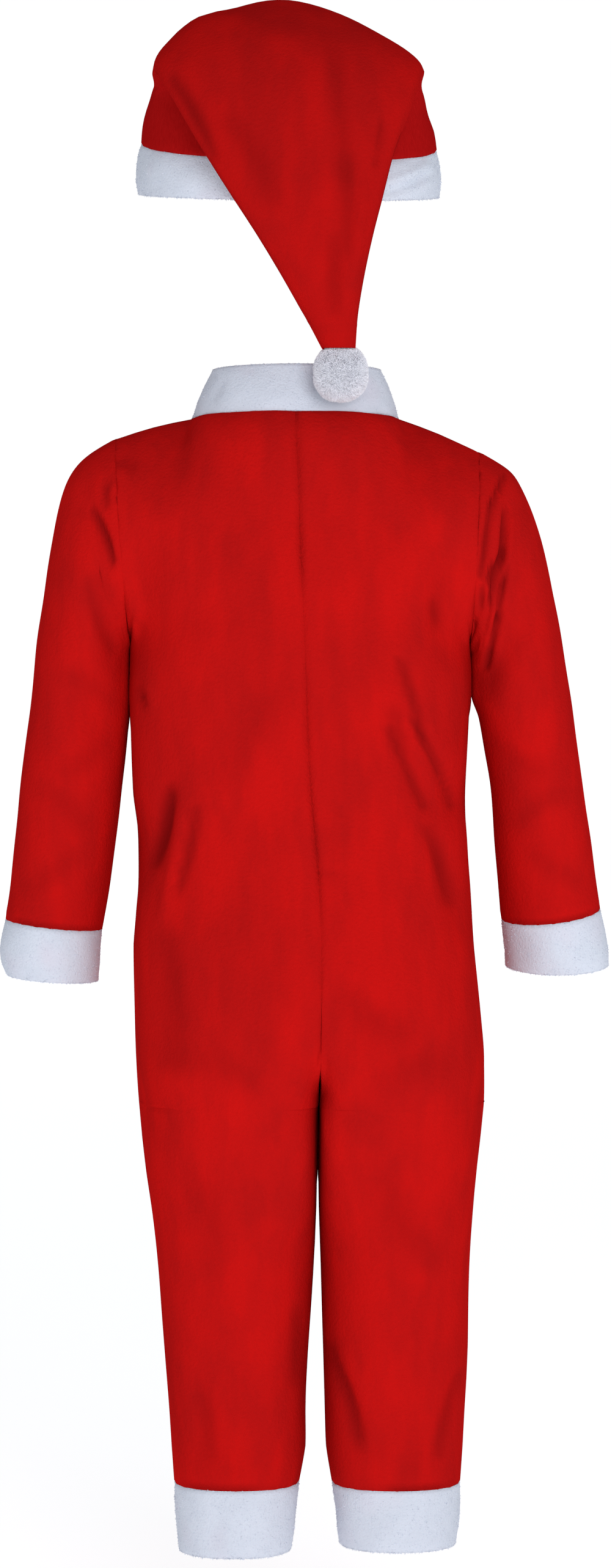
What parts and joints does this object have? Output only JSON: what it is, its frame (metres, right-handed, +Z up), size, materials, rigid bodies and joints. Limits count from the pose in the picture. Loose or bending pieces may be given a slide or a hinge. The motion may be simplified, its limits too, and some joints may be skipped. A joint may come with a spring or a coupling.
{
  "type": "santa suit",
  "caption": "Toddler's santa suit in worn form: red velour one-piece jumpsuit with white collar and cuffs, and a stocking hat with a pompom",
  "frame": {"origin": "the middle of the neck opening at the height of the neck seam, where the shoulders carry the suit", "axes": "+Z up, the longest extent; the wearer's back faces -Y, the wearer's left side lies at -X"},
  "size_m": [0.3257, 0.1834, 0.8196],
  "materials": {
    "red_velour": "soft red velour, short nap",
    "white_plush": "cool white fleece, brushed",
    "pompom_plush": "white plush with a deep pile"
  },
  "bodies": {
    "root": {"back_left": "red_velour", "back_right": "red_velour", "front_left": "red_velour", "front_right": "red_velour", "front_placket": "red_velour", "sleeve_left": "red_velour", "sleeve_right": "red_velour", "cuff_left": "white_plush", "cuff_right": "white_plush", "ankle_cuff_left": "white_plush", "ankle_cuff_right": "white_plush", "collar": "white_plush", "hat_band": "white_plush", "hat_front": "red_velour", "hat_back": "red_velour", "pompom": "pompom_plush"}
  },
  "joints": []
}
